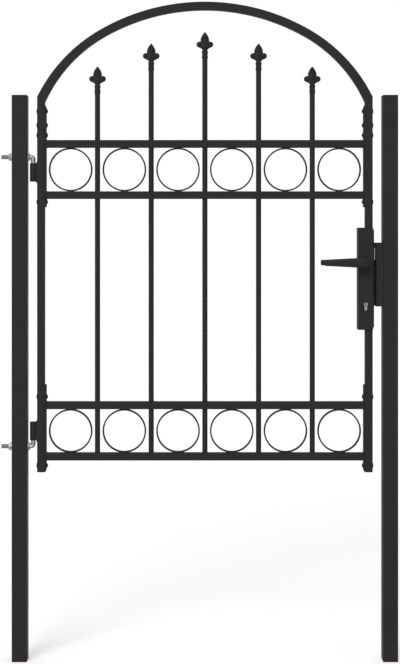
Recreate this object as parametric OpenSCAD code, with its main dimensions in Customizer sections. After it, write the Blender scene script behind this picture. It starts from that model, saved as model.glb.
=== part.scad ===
// Arched garden gate: a leaf of square steel tube with an arched head, round bars under cast
// spear heads and two bands of rings. It hangs on hook bolts between two square posts and
// closes with a box lock that has a lever on both sides.
// Sizes are in millimetres. The origin is the centre of the hinge post's foot, +X runs along
// the gate to the latch post, +Y to the back of the gate and +Z up.

/* [Posts] */
// Side of the square posts
post_w = 40; // [36:1:60]
// Height of the posts' tops above the outer corners of the arch's legs
post_over = 4; // [-60:2:400]
// Wall of the post tube
post_wall = 1.5; // [1:0.25:4]
// Thickness of the caps and of the foot plates
post_end_t = 3; // [2:0.5:8]
// Depth of the plug that holds a cap in its post
post_plug_h = 18; // [8:1:40]
// Play between a plug and the tube around it
plug_play = 0.2; // [0.1:0.1:0.4]

/* [Leaf] */
// Width of the leaf over its stiles
leaf_w = 890; // [830:10:1200]
// Height of the leaf, from the stiles' feet to the top of the arch
leaf_h = 1248; // [1200:4:1600]
// Height of the stiles' feet above the posts' feet
leaf_foot = 500; // [40:10:600]
// Gap between the hinge post and the leaf
hinge_gap = 26; // [24:0.5:40]
// Gap between the leaf and the latch post
latch_gap = 26; // [22:0.5:40]
// Side of the square tube in the stiles and rails
tube_w = 20; // [18:1:24]
// Wall of the leaf's tubes
tube_wall = 1.5; // [1:0.25:2.5]
// Thickness of the plug's rim under a stile
stile_plug_t = 2; // [1:0.5:4]
// Height of a stile's plug with its rim
stile_plug_h = 11; // [6:1:11]

/* [Rails] */
// Height of the bottom rail's centre above the stiles' feet
bottom_rail_up = 41; // [30:1:80]
// Drop from the joint between stile and arch leg to the top rail's centre
top_rail_drop = 36; // [34:1:60]
// Centre distance of the two rails in a band
band_h = 136; // [110:1:150]

/* [Arch] */
// Rise of the arch above the outer corners of its legs
arch_rise = 252; // [200:4:320]
// Length of the arch's legs at the outer corner
leg_len = 89; // [85:1:120]
// Drop from a leg's outer corner to its inner notch
notch_drop = 15; // [8:1:22]
// Radial height of the arch tube at the crown
arch_band = 21.5; // [18:0.5:26]
// How much flatter the crown is than one circle through the crown and both corners
crown_flatness = 1.075; // [1.02:0.005:1.12]
// Half the angle that the crown's flatter curve covers
crown_half_angle = 30; // [20:1:35]

/* [Bars and spears] */
// Diameter of the round bars
bar_d = 14; // [10:1:18]
// Wall of the bar tube
bar_wall = 1; // [0.75:0.25:2]
// Play between a bar and its holes in the rails
bar_play = 0.4; // [0.2:0.1:1]
// Drop from the top of the arch to the middle spear's tip
mid_tip_drop = 79; // [60:1:160]
// Drop of the first neighbouring tip, which grows by the same amount with each bar
tip_step = 30.5; // [10:0.5:34]
// Height of a spear head with its ferrule
spear_h = 73.5; // [70:0.5:90]
// Width of a spear head over its side lobes
spear_w = 45; // [36:1:56]
// Thickness of a spear head
spear_t = 9; // [6:0.5:12]
// Width of the leaf at its shoulders, and their drop from the tip
spear_shoulder = [23, 22]; // [18:0.5:30]
// Height of the side lobes, and their middle's drop from the tip
spear_lobe = [16, 33]; // [12:0.5:36]
// Width of the neck, and its drop from the tip
spear_neck = [12.8, 46.5]; // [10:0.1:50]
// How far the ferrule stands out around the bar, and its beads
ferrule_proud = [0.4, 1.9]; // [0.4:0.1:3]
// Height of a bead
bead_h = 6.5; // [4:0.5:8]
// How deep a bar sits in its ferrule
spear_socket = 9; // [6:1:16]
// Play of a bar in its ferrule
socket_play = 0.2; // [0.1:0.1:0.4]

/* [Rings] */
// Thickness of the ring strip
ring_t = 4; // [2:0.5:5]
// Width of the ring strip, front to back
ring_w = 10; // [6:1:18]
// Gap between a ring and the rail it is tacked to
ring_seat = 0.1; // [0.05:0.05:0.4]

/* [Brackets and bolts] */
// Thickness of the bracket plates
bracket_t = 4; // [3:0.5:6]
// Height of the upper brackets' ends above the joint between stile and arch leg
upper_bracket_up = 66; // [64:1:72]
// How far the upper brackets reach below the rails of their band
upper_bracket_down = 22; // [18:1:40]
// How far the lower brackets reach above the rails of their band
lower_bracket_up = 45; // [26:1:80]
// Height and depth of the cut corner of a bracket plate
bracket_cut = [6, 2]; // [0.5:0.5:8]
// Distance from the lower brackets' bolts to the rails beside them
lower_bolt_gaps = [14, 12.5]; // [8:0.5:18]
// Distance from the upper brackets' lowest bolt to the rail beside it
upper_bolt_gap = 8; // [8:0.5:14]
// Heights of the other bolts above the joint between stile and arch leg
seam_bolts = [-13, 13.5, 51]; // [-13:0.5:55]
// Diameter of the bolt shanks
bolt_d = 8; // [5:0.5:10]
// Play between a bolt and its hole
bolt_play = 0.4; // [0.2:0.1:1]
// Diameter and height of the bolt head on the outer side
bolt_head = [15, 2.6]; // [1:0.1:16]
// Diameter and height of the cap nut on the inner side
bolt_cap = [14, 4.4]; // [2:0.1:15]

/* [Hinges] */
// Height of the lower hook bolt above the stiles' feet
lower_hook_up = 68; // [60:1:200]
// Drop from the joint between stile and arch leg to the upper hook bolt
upper_hook_drop = 71; // [60:1:200]
// Diameter of the hook bolts
hook_d = 12; // [8:1:14]
// Inner radius of the hook bolt's bend
hook_inner_r = 0.5; // [0.5:0.5:2.5]
// How far a hook bolt stands out behind the hinge post
hook_stub = 29.5; // [22:0.5:60]
// Distance from a hook bolt's shaft to the mouth of its lug
lug_mouth_gap = 16.5; // [15:0.5:30]
// Outer diameter of the lugs
lug_d = 18; // [16:0.5:24]
// Length of a lug
lug_len = 48.5; // [40:0.5:70]
// Thickness of the floor that closes a lug's far end
lug_floor = 4; // [2:0.5:8]
// Play of a hook bolt in its holes through the post
hook_play = 0.4; // [0.2:0.1:1]
// Running play of the pin in its lug
pin_play = 0.2; // [0.1:0.05:0.2]
// End play between a pin's tip and the floor of its lug
pin_end_play = 0.3; // [0.2:0.1:0.5]
// Gap between a lug and the stile, which the web fills
lug_stand = 2; // [1:0.25:4]
// Thickness of the web between a lug and the stile
web_t = 8; // [4:1:12]
// How far the web's weld runs out along the stile, at the mouth and at the closed end
web_runout = [9, 7]; // [3:0.5:10]
// Size across the flats of the hook bolt's nuts
nut_af = 19; // [16:0.5:20]
// Thickness of the nut on the leaf's side of the post
inner_nut_t = 6.5; // [5:0.5:8]
// Thickness of the nut on the far side of the post
outer_nut_t = 8; // [5:0.5:10]
// Diameter and thickness of the washer under the far nut
nut_washer = [24, 2]; // [1:0.5:28]
// Play between a nut and its thread
thread_play = 0.2; // [0.1:0.1:0.4]

/* [Lock] */
// Height of the lock case's lower end above the stiles' feet
lock_up = 378; // [330:1:400]
// Height of the lock case
lock_h = 270.5; // [250:0.5:300]
// Width of the lock case along the gate
lock_w = 39.5; // [36:0.5:44]
// Depth of the lock case, front to back
lock_d = 40; // [36:1:50]
// Wall of the lock case
lock_wall = 2; // [1.5:0.25:3]
// Thickness of the face plate
face_t = 3; // [1:0.5:4]
// Width of the face plate, front to back
face_w = 26; // [22:1:32]
// How far the face plate's ends lie inside the case's ends
face_inset = 6; // [2:0.5:12]
// Height of the lever's axis above the lock case's lower end
lever_up = 177; // [150:0.5:190]
// Distance from the lever's axis to the case's outer face
lever_back = 20; // [18:0.5:22]
// Height of the cylinder's centre above the lock case's lower end
cylinder_up = 58; // [40:1:80]
// Height and width of the profile cylinder
cylinder_size = [33, 17]; // [16:0.5:34]
// Width of the cylinder's stem
cylinder_stem_w = 10; // [8:0.5:12]
// How far the cylinder stands out of the case, front and back
cylinder_proud = 2; // [1:0.5:6]
// Play of the cylinder in the case
cylinder_play = 0.2; // [0.1:0.1:0.5]
// Cut corners of the face plate
face_corner = 1; // [1:0.5:5]

/* [Levers] */
// Reach of a lever from its axis to the tip
lever_reach = 112; // [90:1:130]
// Height of the lever's grip at the tip
lever_tip_h = 14.5; // [12:0.5:22]
// Diameter of the lever's round root
lever_root_d = 26; // [22:0.5:28]
// Thickness of the grip, front to back
lever_grip_t = 13; // [8:0.5:18]
// Distance from the case to the outer face of the grip
lever_stand = 42; // [34:1:60]
// Diameter of the lever's neck
lever_neck_d = 17.6; // [14:0.1:18]
// Corner radius of a lever's tip
lever_tip_r = 4; // [1:0.5:6]
// Play of the neck in the case wall
lever_play = 0.4; // [0.2:0.1:0.6]
// Side of the square spindle
spindle_w = 8; // [7:0.5:9]
// How deep the spindle sits in each lever
spindle_grip = 24; // [15:1:30]
// Play of the spindle in the levers' sockets
spindle_play = 0.2; // [0.1:0.1:0.4]

/* [Latch] */
// Height and thickness of the latch bolt's head
latch_size = [32, 16]; // [12:1:34]
// Height of the latch bolt's centre above the lever's axis
latch_rise = 24; // [22:0.5:30]
// Gap between the latch bolt's tip and the strike plate
latch_tip_gap = 0.6; // [0.4:0.1:1]
// Length of the latch bolt's head
latch_head_len = 12.4; // [10:0.2:14]
// Height and thickness of the latch bolt's tail
latch_tail = [14, 8]; // [6:1:16]
// Length of the latch bolt's tail
latch_tail_len = 24; // [12:1:25]
// Width that the bevel leaves at the latch bolt's tip
latch_nose = 5; // [3:0.5:10]
// Play around the latch bolt and the deadbolt in the face plate
latch_play = 1; // [0.6:0.2:2]
// Height and thickness of the deadbolt
deadbolt_size = [44, 12]; // [8:1:46]
// Height of the deadbolt's centre above the lock case's lower end
deadbolt_up = 106; // [100:1:115]
// Length of the deadbolt
deadbolt_len = 14; // [8:1:20]

/* [Strike plate] */
// Running gap between the face plate and the strike plate
strike_gap = 5.2; // [5.2:0.1:8]
// Height of the strike plate's lower end above the lock case's lower end
strike_up = 62; // [50:1:70]
// Height of the strike plate
strike_h = 169; // [160:1:190]
// Sheet thickness of the strike plate
strike_t = 2; // [1.5:0.5:3]
// Gap between the lock case and the stop lip behind it
stop_gap = 5; // [5:0.5:8]
// How far the stop lip reaches in front of the face plate's plane, along the gate
stop_reach = 3; // [1:0.5:3]
// Room around the two bolts in the strike plate
strike_play = 4; // [2:0.5:6]

/* [Hidden] */
n_bars = 5;
$fn = 96;
arch_fn = 360;
steel = "#2f2f2f";
lock_steel = "#2d2f2e";
zinc = "#b4b6b6";
plastic = "#242424";
eps = 1;                                        // how far a cutter runs past what it cuts

// The gate's own levels and lines
hinge_face = post_w / 2;                        // hinge post's face towards the leaf
leaf_x0 = hinge_face + hinge_gap;
leaf_x1 = leaf_x0 + leaf_w;
mid_x = (leaf_x0 + leaf_x1) / 2;
latch_face = leaf_x1 + latch_gap;               // latch post's face towards the leaf
latch_post_x = latch_face + post_w / 2;
leaf_top = leaf_foot + leaf_h;
half_w = leaf_w / 2;

// Arch corners, and the joints between its legs and the stiles
corner_z = leaf_top - arch_rise;
seam_z = corner_z - leg_len;
post_h = corner_z + post_over;                  // from the foot to the top of the cap

// Rails and bars
rail_x0 = leaf_x0 + tube_w + bracket_t;
rail_x1 = leaf_x1 - tube_w - bracket_t;
rail_heights = [
    leaf_foot + bottom_rail_up,
    leaf_foot + bottom_rail_up + band_h,
    seam_z - top_rail_drop - band_h,
    seam_z - top_rail_drop
];
bar_gap = (rail_x1 - rail_x0 - n_bars * bar_d) / (n_bars + 1);
bar_hole_d = bar_d + bar_play;
bar_foot = rail_heights[0] - tube_w / 2 + tube_wall;
ring_d = band_h - tube_w - 2 * ring_seat;
function bar_x(i) = rail_x0 + (i + 1) * bar_gap + (i + 0.5) * bar_d;
function ring_x(i) = rail_x0 + (i + 0.5) * bar_gap + i * bar_d;
function from_mid(i) = abs(i - (n_bars - 1) / 2);
function tip_z(i) = leaf_top - mid_tip_drop - tip_step * from_mid(i) * (from_mid(i) + 1) / 2;

// Arch curves, in a plane whose first axis starts at the middle of the gate. Each side is a
// crown arc about crown_z and a haunch arc that leaves it smoothly and ends at a given corner.
crown_r = crown_flatness * (half_w * half_w + arch_rise * arch_rise) / (2 * arch_rise);
crown_z = leaf_top - crown_r;
crown_dir = [sin(crown_half_angle), cos(crown_half_angle)];
function haunch_r(r, to) = pow(norm(to - r * crown_dir), 2) / (2 * (r - to * crown_dir));
outer_end = [half_w, corner_z - crown_z];
inner_end = [half_w - tube_w, corner_z - notch_drop - crown_z];
outer_haunch_r = haunch_r(crown_r, outer_end);
inner_crown_r = crown_r - arch_band;
inner_haunch_r = haunch_r(inner_crown_r, inner_end);

// Brackets and bolts
upper_plate = [rail_heights[2] - tube_w / 2 - upper_bracket_down, seam_z + upper_bracket_up];
lower_plate = [leaf_foot, rail_heights[1] + tube_w / 2 + lower_bracket_up];
bolt_heights = concat(
    [rail_heights[0] - tube_w / 2 - lower_bolt_gaps[0]],
    [rail_heights[1] + tube_w / 2 + lower_bolt_gaps[1]],
    [rail_heights[2] - tube_w / 2 - upper_bolt_gap],
    [for (up = seam_bolts) seam_z + up]
);
bolt_hole_d = bolt_d + bolt_play;

// Hinges
pin_x = leaf_x0 - lug_stand - lug_d / 2;        // the leaf turns about this line
upper_hook_z = seam_z - upper_hook_drop;
lower_hook_z = leaf_foot + lower_hook_up;
hook_bend_r = hook_inner_r + hook_d / 2;       // of the bend's centre line
lug_bore_d = hook_d + pin_play;
hook_hole_d = hook_d + hook_play;
pin_tip = lug_mouth_gap + lug_len - lug_floor - pin_end_play;
nut_across_corners = nut_af / cos(30);

// Lock, levers, latch and strike
lock_x0 = leaf_x1 - lock_w;
lock_z = leaf_foot + lock_up;
lever_x = leaf_x1 - lever_back;
lever_z = lock_z + lever_up;
cylinder_z = lock_z + cylinder_up;
deadbolt_z = lock_z + deadbolt_up;
latch_z = lever_z + latch_rise;
face_x = leaf_x1 + face_t;                      // outer face of the face plate
strike_x = face_x + strike_gap;                 // face of the strike plate
latch_tip_x = strike_x - latch_tip_gap;
strike_z = lock_z + strike_up;
stop_y = lock_d / 2 + stop_gap;
neck_hole_d = lever_neck_d + lever_play;

// ---- shapes that several pieces share ----

// A box centred on x and y, standing on z
module block(x, y, z) {
    translate([-x / 2, -y / 2, 0])
        cube([x, y, z]);
}

// An upright square tube of height h
module square_tube(w, wall, h) {
    difference() {
        block(w, w, h);
        translate([0, 0, -eps])
            block(w - 2 * wall, w - 2 * wall, h + 2 * eps);
    }
}

// A cylinder along +X from the origin
module x_rod(d, len) {
    rotate([0, 90, 0])
        cylinder(d = d, h = len);
}

// A cylinder along Y, centred on the origin
module y_rod(d, len) {
    rotate([90, 0, 0])
        cylinder(d = d, h = len, center = true);
}

// A flat outline in x and z, thick along Y and centred on the gate's middle plane
module upright_plate(t) {
    rotate([90, 0, 0])
        linear_extrude(height = t, center = true)
            children();
}

// A round head that rises along +X: size holds its diameter and height
module dome(size) {
    r = (size[0] * size[0] / 4 + size[1] * size[1]) / (2 * size[1]);
    rotate([0, 90, 0])
        intersection() {
            translate([0, 0, size[1] - r])
                sphere(r = r);
            cylinder(d = size[0], h = size[1]);
        }
}

// The same piece on the hinge side and, mirrored, on the latch side
module on_side(latch_side) {
    translate([mid_x, 0, 0])
        mirror([latch_side ? 1 : 0, 0, 0])
            translate([-half_w, 0, 0])
                children();
}

// ---- posts ----

module post_at(x) {
    translate([x, 0, post_end_t])
        square_tube(post_w, post_wall, post_h - 2 * post_end_t);
}

module hinge_post() {
    color(steel)
        difference() {
            post_at(0);
            for (z = [upper_hook_z, lower_hook_z])
                translate([-post_w, 0, z])
                    x_rod(hook_hole_d, 2 * post_w);
        }
}

module latch_post() {
    color(steel)
        post_at(latch_post_x);
}

// A plate over a post's end with a plug that sits in the tube
module post_end() {
    plug_w = post_w - 2 * post_wall - plug_play;
    block(post_w, post_w, post_end_t);
    translate([0, 0, post_end_t])
        block(plug_w, plug_w, post_plug_h);
}

module post_caps() {
    color(plastic)
        for (x = [0, latch_post_x])
            translate([x, 0, post_h])
                mirror([0, 0, 1])
                    post_end();
}

module post_feet() {
    color(steel)
        for (x = [0, latch_post_x])
            translate([x, 0, 0])
                post_end();
}

// ---- hinges ----

// Threaded rod through the post, bent into the pin: the shaft lies on y = z = 0 and the pin
// rises along +Z from it
module hook_bolt() {
    shaft_x0 = -post_w / 2 - hook_stub;
    bend_x = pin_x - hook_bend_r;
    translate([shaft_x0, 0, 0])
        x_rod(hook_d, bend_x - shaft_x0);
    translate([bend_x, 0, hook_bend_r])
        rotate([90, 0, 0])
            rotate([0, 0, -90])
                rotate_extrude(angle = 90)
                    translate([hook_bend_r, 0])
                        circle(d = hook_d);
    translate([pin_x, 0, hook_bend_r])
        cylinder(d = hook_d, h = pin_tip - hook_bend_r);
}

module upper_hook_bolt() {
    color(zinc)
        translate([0, 0, upper_hook_z])
            mirror([0, 0, 1])
                hook_bolt();
}

module lower_hook_bolt() {
    color(zinc)
        translate([0, 0, lower_hook_z])
            hook_bolt();
}

// A hexagon nut along +X with two corners up and down
module hex_nut(t) {
    rotate([0, 90, 0])
        cylinder(d = nut_across_corners, h = t, $fn = 6);
}

module hook_nuts() {
    color(zinc)
        for (z = [upper_hook_z, lower_hook_z])
            translate([0, 0, z])
                difference() {
                    union() {
                        translate([hinge_face, 0, 0])
                            hex_nut(inner_nut_t);
                        translate([-hinge_face - nut_washer[1], 0, 0])
                            x_rod(nut_washer[0], nut_washer[1]);
                        translate([-hinge_face - nut_washer[1] - outer_nut_t, 0, 0])
                            hex_nut(outer_nut_t);
                    }
                    translate([-post_w, 0, 0])
                        x_rod(hook_d + thread_play, 2 * post_w);
                }
}

// Sleeve with a blind bore that opens downwards at its mouth, and the web that welds it to
// the stile. The origin is on the pin's line at the mouth.
module lug() {
    reach = leaf_x0 - pin_x;
    mouth_x = lug_bore_d / 2 + lug_stand;
    difference() {
        union() {
            cylinder(d = lug_d, h = lug_len);
            upright_plate(web_t)
                polygon([
                    [mouth_x, 0], [reach, -web_runout[0]], [reach, lug_len + web_runout[1]],
                    [reach - web_runout[1] / 2, lug_len], [0, lug_len], [0, 0]
                ]);
        }
        translate([0, 0, -eps])
            cylinder(d = lug_bore_d, h = lug_len - lug_floor + eps);
    }
}

module upper_lug() {
    color(steel)
        translate([pin_x, 0, upper_hook_z - lug_mouth_gap])
            mirror([0, 0, 1])
                lug();
}

module lower_lug() {
    color(steel)
        translate([pin_x, 0, lower_hook_z + lug_mouth_gap])
            lug();
}

// ---- leaf frame ----

module bolt_holes() {
    for (z = bolt_heights)
        translate([-eps, 0, z])
            x_rod(bolt_hole_d, tube_w + bracket_t + 2 * eps);
}

// Everything that lies under the arch curve, inset by a wall
module under_curve(r, haunch, inset) {
    haunch_mid = (r - haunch) * crown_dir;
    for (side = [-1, 1])
        translate([side * haunch_mid[0], crown_z + haunch_mid[1]])
            circle(r = haunch - inset, $fn = arch_fn);
    intersection() {
        translate([0, crown_z])
            circle(r = r - inset, $fn = arch_fn);
        polygon([
            [0, crown_z],
            [-2 * r * crown_dir[0], crown_z + 2 * r * crown_dir[1]],
            [2 * r * crown_dir[0], crown_z + 2 * r * crown_dir[1]]
        ]);
    }
}

// The arch and its legs seen from the front. With inset 0 it is the tube's outline, and with
// the wall as inset it is the outline of the tube's inside.
module arch_outline(inset, foot_z) {
    clip_w = leaf_w - 2 * inset;
    clip_z = corner_z - 3 * notch_drop;
    difference() {
        intersection() {
            under_curve(crown_r, outer_haunch_r, inset);
            translate([-clip_w / 2, clip_z])
                square([clip_w, leaf_top]);
        }
        under_curve(inner_crown_r, inner_haunch_r, -inset);
    }
    for (side = [-1, 1])
        translate([side * (half_w - tube_w / 2) - tube_w / 2 + inset, foot_z])
            square([tube_w - 2 * inset, corner_z - inset - foot_z]);
}

module arch() {
    color(steel)
        difference() {
            translate([mid_x, 0, 0])
                upright_plate(tube_w)
                    arch_outline(0, seam_z);
            translate([mid_x, 0, 0])
                upright_plate(tube_w - 2 * tube_wall)
                    arch_outline(tube_wall, seam_z - eps);
            for (latch_side = [false, true])
                on_side(latch_side)
                    bolt_holes();
        }
}

module stile(z0, z1) {
    translate([tube_w / 2, 0, z0])
        square_tube(tube_w, tube_wall, z1 - z0);
}

module hinge_stile() {
    color(steel)
        difference() {
            on_side(false)
                stile(leaf_foot + stile_plug_t, seam_z);
            on_side(false)
                bolt_holes();
        }
}

// The lock case interrupts this stile
module latch_stile() {
    color(steel)
        difference() {
            on_side(true) {
                stile(leaf_foot + stile_plug_t, lock_z);
                stile(lock_z + lock_h, seam_z);
            }
            on_side(true)
                bolt_holes();
        }
}

module stile_plugs() {
    plug_w = tube_w - 2 * tube_wall - plug_play;
    color(plastic)
        for (latch_side = [false, true])
            on_side(latch_side)
                translate([tube_w / 2, 0, leaf_foot]) {
                    block(tube_w, tube_w, stile_plug_t);
                    block(plug_w, plug_w, stile_plug_h);
                }
}

// Flat plate on a stile's inner face; one end has its free corner cut off
module bracket(ends, cut_top) {
    h = ends[1] - ends[0];
    difference() {
        translate([tube_w, 0, cut_top ? ends[0] : ends[1]])
            mirror([0, 0, cut_top ? 0 : 1])
                upright_plate(tube_w)
                    polygon([
                        [0, 0], [bracket_t, 0], [bracket_t, h - bracket_cut[0]],
                        [bracket_t - bracket_cut[1], h], [0, h]
                    ]);
        bolt_holes();
    }
}

module hinge_upper_bracket() {
    color(steel)
        on_side(false)
            bracket(upper_plate, true);
}

module latch_upper_bracket() {
    color(steel)
        on_side(true)
            bracket(upper_plate, true);
}

module hinge_lower_bracket() {
    color(steel)
        on_side(false)
            bracket(lower_plate, false);
}

module latch_lower_bracket() {
    color(steel)
        on_side(true)
            bracket(lower_plate, false);
}

// Round-headed bolts through stile and bracket, with a cap nut on the inner side
module side_bolts() {
    for (z = bolt_heights)
        translate([0, 0, z]) {
            x_rod(bolt_d, tube_w + bracket_t);
            mirror([1, 0, 0])
                dome(bolt_head);
            translate([tube_w + bracket_t, 0, 0])
                dome(bolt_cap);
        }
}

module hinge_side_bolts() {
    color(steel)
        on_side(false)
            side_bolts();
}

module latch_side_bolts() {
    color(steel)
        on_side(true)
            side_bolts();
}

// ---- rails, bars, spears and rings ----

// Rail number k from the bottom; the lowest one keeps its lower wall under the bars
module rail(k) {
    z = rail_heights[k - 1];
    color(steel)
        difference() {
            translate([rail_x0, 0, z])
                rotate([0, 90, 0])
                    square_tube(tube_w, tube_wall, rail_x1 - rail_x0);
            for (i = [0 : n_bars - 1])
                translate([bar_x(i), 0, k == 1 ? z : z - tube_w])
                    cylinder(d = bar_hole_d, h = 2 * tube_w);
        }
}

module bar(i) {
    top_z = tip_z(i) - spear_h + spear_socket;
    color(steel)
        translate([bar_x(i), 0, bar_foot])
            difference() {
                cylinder(d = bar_d, h = top_z - bar_foot);
                translate([0, 0, -eps])
                    cylinder(d = bar_d - 2 * bar_wall, h = top_z - bar_foot + 2 * eps);
            }
}

// Cast head: a pointed leaf between two lobes, on a turned ferrule with two beads
module spear(i) {
    ferrule_r = bar_d / 2 + ferrule_proud[0];
    bead_r = bar_d / 2 + ferrule_proud[1];
    neck_r = spear_neck[0] / 2;
    neck_z = spear_h - spear_neck[1];
    ferrule_h = neck_z - (ferrule_r - neck_r);
    color(steel)
        translate([bar_x(i), 0, tip_z(i) - spear_h])
            difference() {
                union() {
                    upright_plate(spear_t)
                        spear_outline();
                    cylinder(r = ferrule_r, h = ferrule_h);
                    translate([0, 0, ferrule_h])
                        cylinder(r1 = ferrule_r, r2 = neck_r, h = neck_z - ferrule_h);
                    for (z = [bead_h, neck_z - bead_h])
                        translate([0, 0, z])
                            rotate_extrude()
                                translate([bead_r - bead_h / 2, 0])
                                    circle(d = bead_h);
                }
                translate([0, 0, -eps])
                    cylinder(d = bar_d + socket_play, h = spear_socket + eps);
            }
}

// Leaf, lobes and the bridge between them, seen from the front
module spear_outline() {
    shoulder = [spear_shoulder[0] / 2, spear_h - spear_shoulder[1]];
    neck = [spear_neck[0] / 2, spear_h - spear_neck[1]];
    lobe_r = spear_lobe[0] / 2;
    lobe = [spear_w / 2 - lobe_r, spear_h - spear_lobe[1]];
    polygon([[0, spear_h], shoulder, neck, [-neck[0], neck[1]], [-shoulder[0], shoulder[1]]]);
    for (side = [-1, 1])
        translate([side * lobe[0], lobe[1]])
            circle(r = lobe_r);
    translate([-lobe[0], lobe[1] - lobe_r / 2])
        square([2 * lobe[0], lobe_r]);
}

// Rings of bent strip between the two rails whose lower one has the given height
module ring_band(rail_z) {
    color(steel)
        for (i = [0 : n_bars])
            translate([ring_x(i), 0, rail_z + band_h / 2])
                difference() {
                    y_rod(ring_d, ring_w);
                    y_rod(ring_d - 2 * ring_t, ring_w + 2 * eps);
                }
}

module upper_rings() {
    ring_band(rail_heights[2]);
}

module lower_rings() {
    ring_band(rail_heights[0]);
}

// ---- lock ----

// Outline of a profile cylinder in x and z, grown by g
module cylinder_outline(g) {
    top_r = cylinder_size[1] / 2 + g;
    stem_r = cylinder_stem_w / 2 + g;
    top_z = cylinder_size[0] / 2 - cylinder_size[1] / 2;
    foot_z = -cylinder_size[0] / 2 + cylinder_stem_w / 2;
    translate([0, top_z])
        circle(r = top_r);
    translate([0, foot_z])
        circle(r = stem_r);
    translate([-stem_r, foot_z])
        square([2 * stem_r, top_z - foot_z]);
}

// Window for a bolt in a plate that stands across the gate
module bolt_window(size, play) {
    translate([0, 0, -size[0] / 2 - play / 2])
        block(3 * lock_wall + 4 * face_t, size[1] + play, size[0] + play);
}

module bolt_windows(play) {
    translate([0, 0, latch_z])
        bolt_window(latch_size, play);
    translate([0, 0, deadbolt_z])
        bolt_window(deadbolt_size, play);
}

module lock_case() {
    inner = [lock_w - 2 * lock_wall, lock_d - 2 * lock_wall, lock_h - 2 * lock_wall];
    color(lock_steel)
        difference() {
            translate([lock_x0 + lock_w / 2, 0, lock_z])
                block(lock_w, lock_d, lock_h);
            translate([lock_x0 + lock_w / 2, 0, lock_z + lock_wall])
                block(inner[0], inner[1], inner[2]);
            translate([lever_x, 0, lever_z])
                y_rod(neck_hole_d, lock_d + 2 * eps);
            translate([lever_x, 0, cylinder_z])
                upright_plate(lock_d + 2 * eps)
                    cylinder_outline(cylinder_play);
            translate([leaf_x1, 0, 0])
                bolt_windows(latch_play);
        }
}

module face_plate() {
    c = face_corner;
    z0 = lock_z + face_inset;
    z1 = lock_z + lock_h - face_inset;
    color(lock_steel)
        difference() {
            translate([leaf_x1, 0, 0])
                rotate([90, 0, 90])
                    linear_extrude(height = face_t)
                        polygon([
                            [-face_w / 2, z0 + c], [c - face_w / 2, z0], [face_w / 2 - c, z0],
                            [face_w / 2, z0 + c], [face_w / 2, z1 - c], [face_w / 2 - c, z1],
                            [c - face_w / 2, z1], [-face_w / 2, z1 - c]
                        ]);
            translate([leaf_x1, 0, 0])
                bolt_windows(latch_play);
        }
}

module lock_cylinder() {
    color(zinc)
        translate([lever_x, 0, cylinder_z])
            upright_plate(lock_d + 2 * cylinder_proud)
                cylinder_outline(0);
}

// Bolt that the key throws, drawn back until it is flush with the face plate
module deadbolt() {
    color(zinc)
        translate([face_x - deadbolt_len / 2, 0, deadbolt_z - deadbolt_size[0] / 2])
            block(deadbolt_len, deadbolt_size[1], deadbolt_size[0]);
}

// ---- moving pieces of the lock ----

module spindle() {
    len = lock_d - 2 * lock_wall + 2 * spindle_grip;
    color(zinc)
        translate([lever_x, 0, lever_z])
            rotate([90, 0, 0])
                translate([0, 0, -len / 2])
                    block(spindle_w, spindle_w, len);
}

// Lever in front of the case: a neck that turns in the case wall, a round root and a grip
// that tapers to its tip
module lever() {
    neck_y = -lock_d / 2 + lock_wall;
    grip_y = -lock_d / 2 - lever_stand;
    tip_r = lever_tip_r;
    difference() {
        union() {
            translate([0, grip_y + lever_grip_t / 2, 0])
                upright_plate(lever_grip_t) {
                    circle(d = lever_root_d);
                    polygon([
                        [0, -lever_root_d / 2], [0, lever_root_d / 2],
                        [-lever_reach + tip_r, lever_tip_h / 2], [-lever_reach, lever_tip_h / 2 - tip_r],
                        [-lever_reach, tip_r - lever_tip_h / 2], [-lever_reach + tip_r, -lever_tip_h / 2]
                    ]);
                }
            translate([0, neck_y, 0])
                rotate([90, 0, 0])
                    cylinder(d = lever_neck_d, h = neck_y - grip_y - lever_grip_t / 2);
        }
        translate([0, neck_y + eps, 0])
            rotate([90, 0, 0])
                block(spindle_w + spindle_play, spindle_w + spindle_play, spindle_grip + eps);
    }
}

module front_lever() {
    color(plastic)
        translate([lever_x, 0, lever_z])
            lever();
}

module back_lever() {
    color(plastic)
        translate([lever_x, 0, lever_z])
            mirror([0, 1, 0])
                lever();
}

// Spring bolt: a head with one bevelled face and a tail inside the case
module latch_bolt() {
    head_x = latch_tip_x - latch_head_len;
    front_y = -latch_size[1] / 2;
    back_y = latch_size[1] / 2;
    bevel_x = face_x;
    color(zinc) {
        translate([0, 0, latch_z - latch_size[0] / 2])
            linear_extrude(height = latch_size[0])
                polygon([
                    [head_x, front_y], [latch_tip_x, front_y], [latch_tip_x, front_y + latch_nose],
                    [bevel_x, back_y], [head_x, back_y]
                ]);
        translate([head_x - latch_tail_len / 2, 0, latch_z - latch_tail[0] / 2])
            block(latch_tail_len, latch_tail[1], latch_tail[0]);
    }
}

// Folded sheet on the latch post: a web that faces the lock, two flanges on the post and a
// lip behind the lock case that stops the leaf
module strike_plate() {
    depth = latch_face - strike_x;
    web_y1 = max(stop_y + strike_t, post_w / 2);
    lip_x = face_x - stop_reach;
    color(lock_steel)
        difference() {
            translate([0, 0, strike_z])
                linear_extrude(height = strike_h) {
                    translate([strike_x, -post_w / 2])
                        square([strike_t, post_w / 2 + web_y1]);
                    translate([strike_x, -post_w / 2])
                        square([depth, strike_t]);
                    translate([strike_x, post_w / 2 - strike_t])
                        square([depth, strike_t]);
                    translate([lip_x, stop_y])
                        square([strike_x - lip_x + strike_t, strike_t]);
                }
            translate([strike_x, 0, 0])
                bolt_windows(strike_play);
        }
}

// ---- the gate ----

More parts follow.
